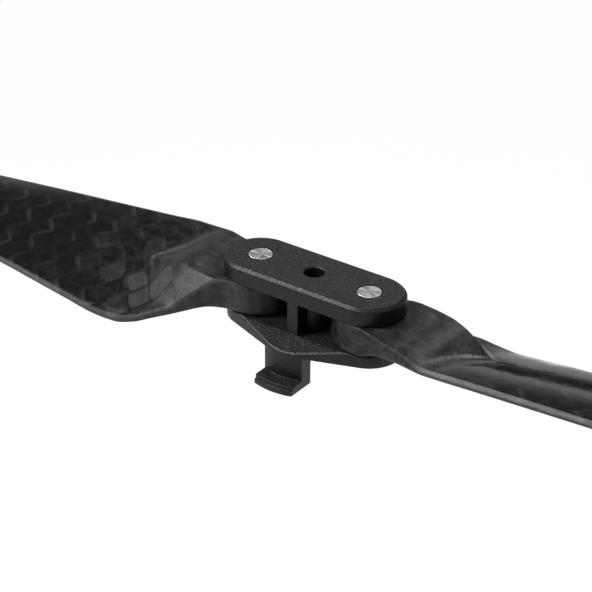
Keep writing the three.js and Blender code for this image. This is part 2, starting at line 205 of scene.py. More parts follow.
def apply_modifiers(thing):
    """Puts what the object's modifiers make into its mesh."""
    shown = thing.evaluated_get(bpy.context.evaluated_depsgraph_get())
    mesh = bpy.data.meshes.new_from_object(shown)
    thing.modifiers.clear()
    thing.data = mesh
    return thing


def combine(thing, others, operation):
    """Joins the others to the object (UNION) or cuts them out of it (DIFFERENCE), and removes them."""
    for other in others:
        modifier = thing.modifiers.new(operation.lower(), "BOOLEAN")
        modifier.operation = operation
        modifier.solver = "EXACT"
        modifier.object = other
    apply_modifiers(thing)
    for other in others:
        bpy.data.objects.remove(other)
    return thing


def half_turn(thing):
    """A copy of the object, turned half round about the spin axis."""
    copy = object_of(thing.name + "_turned", thing.data.copy())
    copy.data.transform(Matrix.Rotation(pi, 4, "Z"))
    return copy


def clean(thing):
    """Joins the points a boolean leaves almost together, and the faces that lie in one plane."""
    with editing(thing.data) as work:
        bmesh.ops.remove_doubles(work, verts=work.verts, dist=CLEAN_POINT)
        bmesh.ops.dissolve_degenerate(work, edges=work.edges, dist=CLEAN_FACE)
        bmesh.ops.dissolve_limit(
            work, angle_limit=CLEAN_LEVEL, verts=work.verts, edges=work.edges
        )


def weld(thing, distance):
    """Joins the points that are closer together than a distance, and turns the faces out."""
    with editing(thing.data) as work:
        bmesh.ops.remove_doubles(work, verts=work.verts, dist=distance * MM)
        bmesh.ops.recalc_face_normals(work, faces=work.faces)


def round_edges(thing, width):
    bevel = thing.modifiers.new("edges", "BEVEL")
    bevel.width = width * MM
    bevel.segments = EDGE_STEPS
    bevel.limit_method = "ANGLE"
    bevel.angle_limit = ROUNDED_OVER
    bevel.use_clamp_overlap = False
    return apply_modifiers(thing)


def shade(thing, sharp=SHARP_OVER):
    """Shades the faces smooth, except over edges sharper than an angle, and keeps flat faces flat."""
    thing.data.shade_smooth()
    thing.data.set_sharp_from_angle(angle=sharp)
    thing.modifiers.new("flat faces", "WEIGHTED_NORMAL").keep_sharp = True
    return apply_modifiers(thing)


# ---- The hub ----
def top_and_rib():
    """The top plate, chamfered along its upper edge, with the rib and the boss under it. All are cut
    from one solid, so that the rib's ends run on up into the plate's side."""

    def level(inset, z):
        radius = TOP_RADIUS - inset
        right = arc(PIVOT, 0, radius, -pi / 2, pi / 2)
        left = arc(-PIVOT, 0, radius, pi / 2, 3 * pi / 2)
        return [(x, y, z) for x, y in right + left]

    low = SLOT_FLOOR / 2
    plate = skin(
        "hub_moulding",
        [level(0, low), level(0, HUB_TOP - TOP_CHAMFER), level(TOP_CHAMFER, HUB_TOP)],
    )
    round_edges(plate, HUB_EDGE)
    slot = block("slot", (-FAR, -FAR, low - PAST), (FAR, FAR, SLOT_ROOF))
    rib = block(
        "rib",
        (-RIB_WIDTH / 2, -FAR - PAST, low - 2 * PAST),
        (RIB_WIDTH / 2, FAR + PAST, HUB_TOP),
    )
    boss = post("boss", BOSS_RADIUS, low - 2 * PAST, HUB_TOP)
    combine(slot, [rib, boss], "DIFFERENCE")
    return combine(plate, [slot], "DIFFERENCE")


def lower_outline(inset=0):
    """The lower plate's plan: a disc round the spin axis and one round each pin, joined by their
    outer tangents."""
    tangent = acos((CENTRE_RADIUS - END_RADIUS) / PIVOT)
    outline = arc(PIVOT, 0, END_RADIUS - inset, -tangent, tangent)
    outline += arc(0, 0, CENTRE_RADIUS - inset, tangent, pi - tangent)
    return outline + [(-x, -y) for x, y in outline]


def slope_wings(plate):
    """Lets the lower plate's upper face fall away to the rim, outside the slot."""
    crease = (TOP_RADIUS + CREASE_OUT) * MM
    with editing(plate.data) as work:
        for side in (-1, 1):
            bmesh.ops.bisect_plane(
                work,
                geom=list(work.verts) + list(work.edges) + list(work.faces),
                plane_co=Vector((0, side * crease, 0)),
                plane_no=(0, 1, 0),
                dist=SAME_POINT,
            )
        for corner in work.verts:
            if corner.co.z > 0:
                corner.co.z -= WING_FALL * max(0, abs(corner.co.y) - crease)


def pad(name, inner, outer, low, high, half_width=LEG_HALF_WIDTH):
    """A pad between two circles about the spin axis, on the -Y side, with its sides along Y."""
    out = asin(half_width / outer)
    back = asin(half_width / inner)
    outline = arc(0, 0, outer, -pi / 2 - out, -pi / 2 + out)
    outline += arc(0, 0, inner, -pi / 2 + back, -pi / 2 - back)
    return prism(name, outline, low, high)


def lower_plate_and_legs():
    """The plate under the slot and its two bayonet legs, cut from one solid, so that a leg's outer
    face runs on down from the rim. Each foot's lower half stands a little proud."""

    def level(inset, z):
        return [(x, y, z) for x, y in lower_outline(inset)]

    edge = SLOT_FLOOR - RIM_CHAMFER * (1 - WING_FALL)
    rows = [level(0, SOLE - PAST), level(0, edge), level(RIM_CHAMFER, SLOT_FLOOR)]
    plate = skin("lower_plate", rows)
    slope_wings(plate)
    wide = LEG_HALF_WIDTH + PAST
    inner = (LEG_INNER + CENTRE_RADIUS) / 2
    top = SOLE + FOOT_HEIGHT
    upper = pad("foot_upper", inner, FOOT_RADIUS - FOOT_STEP, SOLE - PAST / 2, top, wide)
    top = SOLE + FOOT_STEP_HEIGHT
    lower = pad("foot_lower", inner + GAP, FOOT_RADIUS, SOLE - PAST / 4, top, wide)
    combine(plate, [upper, half_turn(upper), lower, half_turn(lower)], "UNION")
    under = block("under", (-FAR, -FAR, SOLE - 2 * PAST), (FAR, FAR, 0))
    leg = pad("leg", LEG_INNER, FAR + PAST, SOLE, PAST)
    combine(under, [half_turn(leg), leg], "DIFFERENCE")
    combine(plate, [under], "DIFFERENCE")
    clean(plate)
    return round_edges(plate, HUB_EDGE)


def make_hub():
    hub = top_and_rib()
    combine(hub, [lower_plate_and_legs()], "UNION")
    rim = BORE_RADIUS + BORE_RIM
    bore = [
        (0, -PAST),
        (BORE_RADIUS, -PAST),
        (BORE_RADIUS, HUB_TOP - BORE_RIM),
        (rim, HUB_TOP),
        (rim, HUB_TOP + PAST),
        (0, HUB_TOP + PAST),
    ]
    cuts = [turned("bore", bore)]
    for x in (-PIVOT, PIVOT):
        cuts.append(post("pin_hole", PIN_RADIUS + GAP, -PAST, HUB_TOP + PAST, x))
    return shade(combine(hub, cuts, "DIFFERENCE"))


# ---- What is on each pivot ----
def make_pin(name, x):
    """A turned pin: its ends are dressed flat, with a chamfer."""
    low, high = PIN_LOW.z, PIN_HIGH.z
    profile = [
        (0, low),
        (PIN_RADIUS - PIN_CHAMFER, low),
        (PIN_RADIUS, low + PIN_CHAMFER),
        (PIN_RADIUS, high - PIN_CHAMFER),
        (PIN_RADIUS - PIN_CHAMFER, high),
        (0, high),
    ]
    return shade(round_edges(turned(name, profile, x), PIN_EDGE))


def make_ring(name, x, inner, outer, low, high):
    profile = [(inner, low), (outer, low), (outer, high), (inner, high)]
    return shade(round_edges(turned(name, profile, x), RING_EDGE))


# ---- The blade: the same curves as the CAD part, in finer steps ----
# The columns: radius from the spin axis; for the leading and the trailing edge its place across
# the blade, its height over the middle of the root and its thickness; camber; crown.
STATIONS = [
    (8, -4.45, 0, 3.9, 4.45, 0, 3.9, 0, 0),
    (9.5, -4.6, 0.05, 3.8, 4.62, 0, 3.9, 0, 0),
    (11, -4.95, 0.4, 3.1, 5.05, -0.15, 3.7, 0, 0.1),
    (12, -5.2, 0.6, 2.6, 5.62, -0.65, 2.7, 0, 0.2),
    (13.5, -5.65, 0.77, 2, 6.6, -1.65, 1.5, 0.1, 0.35),
    (15.5, -6.2, 0.84, 1.4, 7.85, -2.62, 1.1, 0.25, 0.6),
    (18, -6.85, 0.95, 1.08, 9.55, -3.48, 1, 0.4, 0.75),
    (20, -7.2, 1.02, 1, 10.45, -4.27, 0.9, 0.5, 0.8),
    (22.5, -7.1, 1.03, 0.9, 11.05, -4.77, 0.8, 0.6, 0.9),
    (26, -6.6, 0.9, 0.95, 11.33, -4.58, 0.7, 0.6, 0.9),
    (30, -6.1, 0.76, 0.94, 11.22, -4.06, 0.67, 0.6, 0.89),
    (44, -4.45, 0.3, 0.85, 10.5, -2.65, 0.6, 0.55, 0.75),
    (60, -2.55, -0.28, 0.75, 9.8, -1.77, 0.55, 0.45, 0.55),
    (75, -0.7, -0.45, 0.65, 9, -1.45, 0.5, 0.35, 0.4),
    (90, 1.6, -0.5, 0.55, 8.2, -1.05, 0.45, 0.2, 0.2),
    (TIP_RADIUS, 5.2, -0.5, 0.4, 7.4, -0.7, 0.4, 0.05, 0),
]
# The hump that the root runs out along the blade: radius, the height of its top, its rear edge.
HUMP = [
    (8, 1.95, 4.5),
    (11.5, 1.95, 4.9),
    (14, 1.95, 4.7),
    (16.5, 1.95, 4.25),
    (19, 1.6, 3.7),
    (20.5, 1.1, 3.3),
    (22.5, 0.3, 2.6),
    (24.5, -0.6, 2),
    (28, -2.5, 2),
    (TIP_RADIUS, -2.5, 6.4),
]
HUMP_SLOPE = 1.15
HUMP_BLEND = (0.35, 1.2)  # over how much height it runs into the blade, at the root and at its end
HUMP_ROLL = 0.25  # how far the hump's end falls away in front
ROLL_WIDTH = 5  # over how much of the blade's width it does
HUMP_ENDS = (18.5, 22)  # between these radii it goes from the root's form to the end's
CROWN_PLACE = 0.35  # where along the chord the blade is fullest
TIP_ROUNDING = 7  # the length of the blade that the round tip takes
TIP_RAKE = 0.75  # how far back along the chord the tip's end is
TIP_THICKNESS = 0.35  # what share of its thickness the blade keeps there
TIP_REACH = 0.999  # the last section stops this near the very end
NOSE_FORMS = (12, 18)  # between these radii the root's corner becomes the full round nose
RIDGE_LIMIT = 0.98  # the hump's rear edge stays this far inside the section's end
WELD = 0.004  # points of the skin closer together than this are joined
NECK_END = 30  # the sections are close together up to this radius
NECK_STEP = 0.4
OUTER_SECTIONS = 44
TIP_SECTIONS = 12
CORNER_STEPS = 6
FRONT_STEPS = 22
REAR_STEPS = 18
SIDE_STEPS = 2 * CORNER_STEPS + FRONT_STEPS + REAR_STEPS


def lerp(a, b, share):
    return a + (b - a) * share


def clamp(value, low, high):
    return max(low, min(high, value))


def smoothstep(value, low, high):
    share = clamp((value - low) / (high - low), 0, 1)
    return share * share * (3 - 2 * share)


def through(rows, column):
    """A smooth curve through one column of a table that never overshoots it."""
    at = [row[0] for row in rows]
    level = [row[column] for row in rows]
    slope = [0.0] * len(rows)
    for i in range(1, len(rows) - 1):
        before = (level[i] - level[i - 1]) / (at[i] - at[i - 1])
        after = (level[i + 1] - level[i]) / (at[i + 1] - at[i])
        slope[i] = 2 * before * after / (before + after) if before * after > 0 else 0.0

    def curve(radius):
        r = clamp(radius, at[0], at[-1])
        i = min(bisect_right(at, r) - 1, len(at) - 2)
        gap = at[i + 1] - at[i]
        t = (r - at[i]) / gap
        start = (1 + 2 * t) * (1 - t) ** 2
        rise = t * (1 - t) ** 2 * gap * slope[i] - t * t * (1 - t) * gap * slope[i + 1]
        return level[i] * start + level[i + 1] * (1 - start) + rise

    return curve


lead_y, lead_z, lead_thickness, trail_y, trail_z, trail_thickness, camber, crown = (
    through(STATIONS, column) for column in range(1, 9)
)
hump_top, hump_rear = (through(HUMP, column) for column in (1, 2))


def smooth_max(a, b, blend):
    share = clamp(0.5 + (a - b) / (2 * blend), 0, 1)
    return lerp(b, a, share) + blend * share * (1 - share) * 0.5


def edges_at(radius):
    """The two edges at a radius and how open the chord is, as it is drawn in at the round tip."""
    share = max(0, (radius - TIP_RADIUS + TIP_ROUNDING) / TIP_ROUNDING)
    opened = sqrt(max(0, 1 - share * share))
    lead, trail = lead_y(radius), trail_y(radius)
    rake = lerp(lead, trail, TIP_RAKE)
    return lerp(rake, lead, opened), lerp(rake, trail, opened), opened


def thinning(opened):
    return lerp(TIP_THICKNESS, 1, opened)


def faces_at(radius, y, share, opened):
    """The heights of the lower and upper faces, share of the chord behind the leading edge."""
    middle = lerp(lead_z(radius), trail_z(radius), share)
    arch = camber(radius) * 4 * share * (1 - share)
    peak = share / CROWN_PLACE if share < CROWN_PLACE else (1 - share) / (1 - CROWN_PLACE)
    full = lerp(lead_thickness(radius), trail_thickness(radius), share)
    thickness = (full + crown(radius) * sin(peak * pi / 2)) * thinning(opened)
    plate = middle + arch + thickness / 2
    behind = y - hump_rear(radius)
    ending = smoothstep(radius, *HUMP_ENDS)
    roll = HUMP_ROLL * ending * smoothstep(-behind, 0, ROLL_WIDTH)
    hump = hump_top(radius) - HUMP_SLOPE * max(0, behind) - roll
    return middle + arch - thickness / 2, smooth_max(plate, hump, lerp(*HUMP_BLEND, ending))


def corner_radius(radius, thickness, opened, chord):
    nose = min(thickness / 2 * thinning(opened), chord / 3)
    return lerp(ROOT_CORNER, nose, smoothstep(radius, *NOSE_FORMS))


def across_section(radius, step):
    """A step's place across the blade, and how far the round of an edge takes it in."""
    lead, trail, opened = edges_at(radius)
    lead_corner = corner_radius(radius, lead_thickness(radius), opened, trail - lead)
    trail_corner = corner_radius(radius, trail_thickness(radius), opened, trail - lead)
    from_trail = SIDE_STEPS - step
    if step < CORNER_STEPS:
        angle = step / CORNER_STEPS * pi / 2
        return lead + lead_corner * (1 - cos(angle)), lead_corner * (1 - sin(angle))
    if from_trail < CORNER_STEPS:
        angle = from_trail / CORNER_STEPS * pi / 2
        return trail - trail_corner * (1 - cos(angle)), trail_corner * (1 - sin(angle))
    first, last = lead + lead_corner, trail - trail_corner
    ridge = min(hump_rear(radius), lerp(first, last, RIDGE_LIMIT))
    ahead = step - CORNER_STEPS
    if ahead <= FRONT_STEPS:
        return lerp(first, ridge, ahead / FRONT_STEPS), 0
    return lerp(ridge, last, (ahead - FRONT_STEPS) / REAR_STEPS), 0


def section_point(radius, step, upper):
    lead, trail, opened = edges_at(radius)
    y, inset = across_section(radius, step)
    low, high = faces_at(radius, y, (y - lead) / (trail - lead), opened)
    middle = (low + high) / 2
    height = max(high - inset, middle) if upper else min(low + inset, middle)
    return radius, y, ROOT_MIDDLE + height


def section_radii():
    count = round((NECK_END - PIVOT) / NECK_STEP)
    radii = [PIVOT + NECK_STEP * i for i in range(count)]
    start = TIP_RADIUS - TIP_ROUNDING
    radii += [lerp(NECK_END, start, i / OUTER_SECTIONS) for i in range(OUTER_SECTIONS)]
    angles = [i / TIP_SECTIONS * pi / 2 for i in range(TIP_SECTIONS + 1)]
    return radii + [start + TIP_ROUNDING * TIP_REACH * sin(a) for a in angles]


def root_end():
    """The round end of the root, about the pin, with its edges rounded."""
    rows = []
    for edge, sign in ((ROOT_LOW, 1), (ROOT_HIGH, -1)):
        for i in range(CORNER_STEPS + 1):
            step = i if sign > 0 else CORNER_STEPS - i
            angle = step / CORNER_STEPS * pi / 2
            radius = ROOT_RADIUS - ROOT_CORNER * (1 - sin(angle))
            z = edge + sign * ROOT_CORNER * (1 - cos(angle))
            outline = [(PIVOT + PAST, -radius), (PIVOT + PAST, radius)]
            outline += arc(PIVOT, 0, radius, pi / 2, 3 * pi / 2)
            rows.append([(x, y, z) for x, y in outline])
    return skin("root_end", rows)


def make_blade():
    """The right-hand blade, with its bush hole and the two washer recesses."""
    rows = []
    for radius in section_radii():
        upper = [section_point(radius, step, True) for step in range(SIDE_STEPS + 1)]
        lower = [section_point(radius, step, False) for step in range(SIDE_STEPS, -1, -1)]
        rows.append(upper + lower)
    blade = skin("carbon_blade_right", rows)
    weld(blade, WELD)
    combine(blade, [root_end()], "UNION")
    recess = WASHER_RADIUS + GAP
    cuts = [
        post("hole", BUSH_RADIUS + GAP, ROOT_LOW - PAST, ROOT_HIGH + PAST, PIVOT),
        post("lower_recess", recess, ROOT_LOW - PAST, BUSH_LOW.z, PIVOT),
        post("upper_recess", recess, BUSH_HIGH.z, ROOT_HIGH + PAST, PIVOT),
    ]
    combine(blade, cuts, "DIFFERENCE")
    return shade(blade, BLADE_SHARP_OVER)


def remember_places(thing):
    """Keeps for the blade's material each point's place in the blade's own frame and how far it is
    from the leading and the trailing edge, in millimetres."""
    plan = thing.data.attributes.new("plan", "FLOAT_VECTOR", "POINT")
    edges = thing.data.attributes.new("edges", "FLOAT_VECTOR", "POINT")
    for i, corner in enumerate(thing.data.vertices):
        place = corner.co / MM
        plan.data[i].vector = place
        edges.data[i].vector = (place.y - lead_y(place.x), trail_y(place.x) - place.y, 0)


# ---- Materials ----
class Nodes:
    """A material's nodes, made by short calls."""

    def __init__(self, name):
        self.material = bpy.data.materials.new(name)
        self.material.use_nodes = True
        self.tree = self.material.node_tree
        self.shader = self.tree.nodes["Principled BSDF"]

    def node(self, kind, inputs=None, **settings):
        made = self.tree.nodes.new("ShaderNode" + kind)
        for key, value in settings.items():
            setattr(made, key, value)
        for key, value in (inputs or {}).items():
            self.feed(made.inputs[key], value)
        return made

    def feed(self, socket, value):
        if isinstance(value, bpy.types.NodeSocket):
            self.tree.links.new(value, socket)
        else:
            socket.default_value = value

    def math(self, operation, a, b=0.0, c=0.0):
        made = self.node("Math", {0: a, 1: b, 2: c}, operation=operation)
        return made.outputs[0]

    def times(self, *factors):
        product = factors[0]
        for factor in factors[1:]:
            product = self.math("MULTIPLY", product, factor)
        return product

    def line(self, value, slope, start):
        """value * slope + start."""
        return self.math("MULTIPLY_ADD", value, slope, start)

    def vector(self, operation, a, b=(0, 0, 0)):
        made = self.node("VectorMath", {0: a, 1: b}, operation=operation)
        return made.outputs[0]

    def split(self, vector):
        return list(self.node("SeparateXYZ", {0: vector}).outputs)

    def ramp(self, value, low, high, to_low=0.0, to_high=1.0):
        """value taken smoothly from low..high to to_low..to_high."""
        inputs = {0: value, 1: low, 2: high, 3: to_low, 4: to_high}
        return self.node("MapRange", inputs, interpolation_type="SMOOTHSTEP").outputs[0]

    def noise(self, place, scale, detail=2.0, rough=0.5, output="Fac"):
        inputs = {"Vector": place, "Scale": scale, "Detail": detail, "Roughness": rough}
        return self.node("TexNoise", inputs).outputs[output]

    def stretched_noise(self, place, stretch, detail=3.0, rough=0.5):
        """Noise at a different scale along each axis."""
        return self.noise(self.vector("MULTIPLY", place, stretch), 1.0, detail, rough)

    def mix(self, share, a, b):
        made = self.node("Mix", {0: share, 6: a, 7: b}, data_type="RGBA")
        return made.outputs[2]

    def bump(self, height, distance, strength=1.0, normal=None):
        inputs = {"Height": height, "Distance": distance * MM, "Strength": strength}
        made = self.node("Bump", inputs)
        if normal is not None:
            self.feed(made.inputs["Normal"], normal)
        return made.outputs["Normal"]

    def tinted(self, tone, green, blue):
        """The colour of a tone, with its green and blue that many times its red."""
        parts = {0: tone, 1: self.times(tone, green), 2: self.times(tone, blue)}
        return self.node("CombineColor", parts).outputs[0]

    def attribute(self, name):
        return self.node("Attribute", attribute_name=name).outputs["Vector"]

    def object_place(self):
        """The place in the object's own frame, in millimetres."""
        place = self.node("TexCoord").outputs["Object"]
        return self.vector("MULTIPLY", place, (1 / MM, 1 / MM, 1 / MM))

    def upwardness(self):
        """1 on a face that looks straight up, 0 on an upright one."""
        return self.split(self.node("NewGeometry").outputs["Normal"])[2]

    def set(self, **values):
        for key, value in values.items():
            self.feed(self.shader.inputs[key.replace("_", " ")], value)


def grey(value):
    return value, value, value, 1.0


NYLON_TONE = 0.004
SPECKLE_TONE = 0.026  # what a full speckle adds to it
NYLON_ROUGHNESS = 0.42
SPECKLE_SHINE = 0.12  # what a full speckle takes off it
WING_SHINE = 0.15


def nylon():
    """Moulded glass-filled nylon: near black, speckled where the mould's faces were roughened,
    smoother on the sloping wings and down the walls that slid out of it. The speckle's lighter tone
    follows the same share, so it is painted light on faces that look up and painted shade on the walls
    and, most, on the wings."""
    m = Nodes("moulded nylon")
    place = m.object_place()
    up = m.upwardness()
    wing = m.times(m.ramp(up, 0.8, 0.86), m.ramp(up, 0.96, 0.9))
    # partly real grain, partly painted light and shade: the speckle shows in full on faces that look
    # up and is held back on the walls and, more, on the sloping wings
    grain_and_painted_shade = m.line(wing, -0.45, m.ramp(up, 0.3, 0.7, 0.3, 1.0))
    grain = m.noise(place, scale=3.4, rough=0.65)
    fine = m.noise(place, scale=8.0, rough=0.6)
    patches = m.noise(place, scale=0.3, detail=3.0, rough=0.55)
    speckle = m.ramp(m.line(fine, 0.45, m.times(grain, 0.55)), 0.42, 0.62)
    shown = m.times(speckle, grain_and_painted_shade)
    tone = m.line(shown, SPECKLE_TONE, NYLON_TONE)
    tone = m.times(tone, m.line(patches, 0.9, 0.55))
    m.set(Base_Color=m.tinted(tone, green=1.02, blue=1.05), Specular_IOR_Level=0.3)
    rough = m.line(shown, -SPECKLE_SHINE, NYLON_ROUGHNESS)
    m.set(Roughness=m.line(wing, -WING_SHINE, rough))
    m.set(Normal=m.bump(speckle, distance=0.02, strength=m.times(grain_and_painted_shade, 0.8)))
    return m.material


def steel():
    """A turned pin: fine rings from the lathe on its end faces."""
    m = Nodes("turned steel")
    place = m.object_place()
    x, y, _ = m.split(place)
    from_pin = m.math("SUBTRACT", m.math("ABSOLUTE", x), PIVOT)
    squares = m.math("ADD", m.math("POWER", from_pin, 2.0), m.math("POWER", y, 2.0))
    ring_place = {"W": m.math("SQRT", squares), "Scale": 14.0, "Detail": 3.0}
    rings = m.node("TexNoise", ring_place, noise_dimensions="1D").outputs["Fac"]
    smudge = m.noise(place, scale=1.6, detail=3.0)
    m.set(Base_Color=m.mix(smudge, (0.62, 0.62, 0.61, 1), (0.8, 0.8, 0.79, 1)))
    m.set(Metallic=1.0, Anisotropic=0.95)
    m.set(Roughness=m.line(rings, 0.15, 0.24))
    m.set(Tangent=m.node("Tangent", direction_type="RADIAL", axis="Z").outputs[0])
    m.set(Normal=m.bump(rings, distance=0.02, strength=0.35))
    return m.material


def brass():
    """A machined bush: marks round it from the tool."""
    m = Nodes("machined brass")
    marks = m.stretched_noise(m.object_place(), (0.3, 0.3, 14))
    m.set(Base_Color=m.mix(marks, (0.60, 0.43, 0.20, 1), (0.74, 0.56, 0.28, 1)), Metallic=1.0)
    m.set(Roughness=m.line(marks, 0.2, 0.22))
    m.set(Normal=m.bump(marks, distance=0.01, strength=0.4))
    return m.material


def washer_plastic():
    """Thin low-friction sheet: cloudy and dull."""
    m = Nodes("low-friction sheet")
    cloud = m.noise(m.object_place(), scale=1.2, detail=4.0)
    m.set(Base_Color=m.mix(cloud, (0.30, 0.29, 0.26, 1), (0.42, 0.41, 0.37, 1)))
    m.set(Roughness=m.line(cloud, 0.2, 0.4))
    m.set(Normal=m.bump(cloud, distance=0.01, strength=0.3))
    return m.material


TOW = 2.7  # the width of one tow of the weave
TOW_WANDER = 1.5  # how far a tow strays from its line
LINE_WIDTH = 0.26  # the painted highlight line where a tow turns under, in tows
FAINT_LINE_WIDTH = 0.2  # the same on the tows that cross it
FAINT_LINE_SHARE = 0.7
LEAD_STRIP = (0.62, 0.36)  # the painted edge highlight, and the filed edge's roughness, fade in between these distances from the leading edge
TRAIL_STRIP = (0.6, 0.0)
TRAIL_FILED = (0.6, 0.3)

# What each mark adds to the laminate's tone.
LAMINATE_TONE = 0.003
BLOTCH_TONE = 0.014
# the painted highlight on the tows' ends
WEAVE_HIGHLIGHT_TONE = 0.022
# the painted highlight on the crossings near the root
CELL_HIGHLIGHT_TONE = 0.034
FIBRE_TONE = 0.028
# the painted highlight along the edges, from its dullest to its brightest
EDGE_HIGHLIGHT_TONE = (0.09, 0.17)


def weave_place(m, plan):
    """The place counted in tows, along and across a weave that is laid at 45 degrees."""
    wander = m.vector("SUBTRACT", m.noise(plan, scale=0.12, output="Color"), (0.5, 0.5, 0.5))
    wander = m.vector("MULTIPLY", wander, (TOW_WANDER, TOW_WANDER, 0))
    laid = {"Vector": m.vector("ADD", plan, wander), "Angle": pi / 4}
    laid = m.node("VectorRotate", laid, rotation_type="Z_AXIS").outputs[0]
    return m.vector("MULTIPLY", laid, (1 / TOW, 1 / TOW, 0))


def is_odd(m, a, b):
    """1 where the sum of two whole numbers is odd, for numbers from -100 up."""
    return m.math("MODULO", m.math("ADD", m.math("ADD", a, b), 200.0), 2.0)


def hill(m, share):
    """0 at both sides of a tow and 1 along its middle."""
    return m.math("SINE", m.times(share, pi))


def turn_under(m, across_tow, along_tow, beside, width):
    """A soft painted highlight line over every second tow's end, where it goes under the next one."""
    nearest = m.math("ROUND", across_tow)
    away = m.math("SUBTRACT", across_tow, nearest)
    even = m.math("SUBTRACT", 1.0, is_odd(m, nearest, m.math("FLOOR", along_tow)))
    line = m.times(m.ramp(away, width, 0.0), m.ramp(away, -width / 3, 0.0))
    return m.times(line, even, m.math("POWER", hill(m, beside), 0.35))


def weave_highlights(m, plan, radius, tow, inside):
    """Painted highlights in zigzags along the tows' ends, uneven over the blade and lost at the root.
    """
    strong = turn_under(m, tow[1], tow[0], inside[0], LINE_WIDTH)
    faint = turn_under(m, tow[0], tow[1], inside[1], FAINT_LINE_WIDTH)
    uneven = m.ramp(m.noise(plan, scale=0.35, detail=3.0), 0.36, 0.62, 0.2, 1.0)
    woven = m.ramp(radius, 15.0, 30.0)
    return m.times(m.line(faint, FAINT_LINE_SHARE, strong), m.times(uneven, woven))


def painted_cell_highlights(m, cell, radius, across, inside):
    """Painted highlights on the crossings near the root, each one differently bright."""
    by_cell = m.node("TexWhiteNoise", {"Vector": cell}, noise_dimensions="3D").outputs["Value"]
    zone = m.times(m.ramp(radius, 11.0, 15.0), m.ramp(radius, 36.0, 27.0))
    zone = m.times(zone, m.ramp(across, 1.0, 5.0, 0.25, 1.0))
    crossing = m.ramp(m.times(hill(m, inside[0]), hill(m, inside[1])), 0.02, 0.2)
    return m.times(m.ramp(by_cell, 0.35, 0.95), m.times(zone, crossing))


def fibre_streaks(m, tows, tow):
    """Fine streaks along whichever tow lies on top."""
    over = is_odd(m, m.math("FLOOR", tow[0]), m.math("FLOOR", tow[1]))
    one_way = m.stretched_noise(tows, (1.2, 16, 1))
    other_way = m.stretched_noise(tows, (16, 1.2, 1))
    return m.node("Mix", {0: over, 2: one_way, 3: other_way}).outputs[0]


def painted_edge_highlights(m, edges, radius):
    """How strongly the painted highlights along the leading and the trailing edge show, the leading
    one most on faces that look up.
    """
    lead = m.times(m.ramp(edges[0], *LEAD_STRIP), m.ramp(radius, 17.0, 22.0))
    lead = m.times(lead, m.ramp(m.upwardness(), -0.1, 0.45, 0.3, 1.0))
    trail = m.times(m.ramp(edges[1], *TRAIL_STRIP), m.ramp(radius, 16.0, 36.0, 0.1, 0.5))
    return m.math("MAXIMUM", lead, trail)


def carbon():
    """Woven carbon under satin resin, mottled and streaky at the root, with painted highlights where
    the tows turn under, on the crossings near the root, and in strips along both edges."""
    m = Nodes("carbon laminate")
    plan = m.attribute("plan")
    edges = m.split(m.attribute("edges"))
    radius, across, _ = m.split(plan)
    tows = weave_place(m, plan)
    cell = m.vector("FLOOR", tows)
    tow = m.split(tows)
    inside = m.split(m.vector("SUBTRACT", tows, cell))
    root = m.ramp(radius, 26.0, 15.0)
    mottle = m.noise(plan, scale=0.8, detail=4.0, rough=0.6)
    root_streak = m.stretched_noise(plan, (0.35, 3.0, 3.0), detail=4.0, rough=0.65)
    lines = weave_highlights(m, plan, radius, tow, inside)

    blotch = m.times(m.ramp(mottle, 0.35, 0.68), m.ramp(radius, 34.0, 22.0, 0.35, 1.0))
    tone = m.line(blotch, BLOTCH_TONE, LAMINATE_TONE)
    tone = m.times(tone, m.line(fibre_streaks(m, tows, tow), 0.8, 0.6))
    # painted highlights along the tows' ends
    tone = m.line(lines, WEAVE_HIGHLIGHT_TONE, tone)
    # painted highlights on the crossings near the root
    tone = m.line(painted_cell_highlights(m, cell, radius, across, inside), CELL_HIGHLIGHT_TONE, tone)
    fibres = m.times(m.ramp(mottle, 0.42, 0.72), m.ramp(root_streak, 0.35, 0.7))
    tone = m.line(m.times(fibres, root), FIBRE_TONE, tone)
    # painted highlight along both edges, brighter in some places than others
    highlight_unevenness = m.stretched_noise(plan, (1.2, 3, 3), rough=0.7)
    tone = m.line(painted_edge_highlights(m, edges, radius), m.ramp(highlight_unevenness, 0.3, 0.7, *EDGE_HIGHLIGHT_TONE), tone)
    m.set(Base_Color=m.tinted(tone, green=1.01, blue=1.02), Specular_IOR_Level=0.32)

    filed = m.math("MAXIMUM", m.ramp(edges[0], *LEAD_STRIP), m.ramp(edges[1], *TRAIL_FILED))
    rough = m.line(root, 0.34, m.line(mottle, 0.14, 0.03))
    m.set(Roughness=m.math("MAXIMUM", rough, m.times(filed, 0.62)))
    waves = m.bump(m.times(lines, -1.0), distance=0.02, strength=0.25)
    streaks = m.times(root_streak, m.line(root, 0.8, 0.08))
    waves = m.bump(streaks, distance=0.08, strength=0.5, normal=waves)
    m.set(Normal=m.bump(mottle, distance=0.06, strength=0.35, normal=waves))
    return m.material


FLOOR_DROP = 0.5  # how far under the part the floor is, and the sizes below, in metres
FLOOR_SIZE = 14.0
WHITE_TO = 1.65  # how far out the floor is lit white
WHITE_FADE = 0.1
WHITE_GLOW = 0.57
FLOOR_TO = 5.0  # how far out it is lit at all
FLOOR_FADE = 0.3
FLOOR_GLOW = 0.30


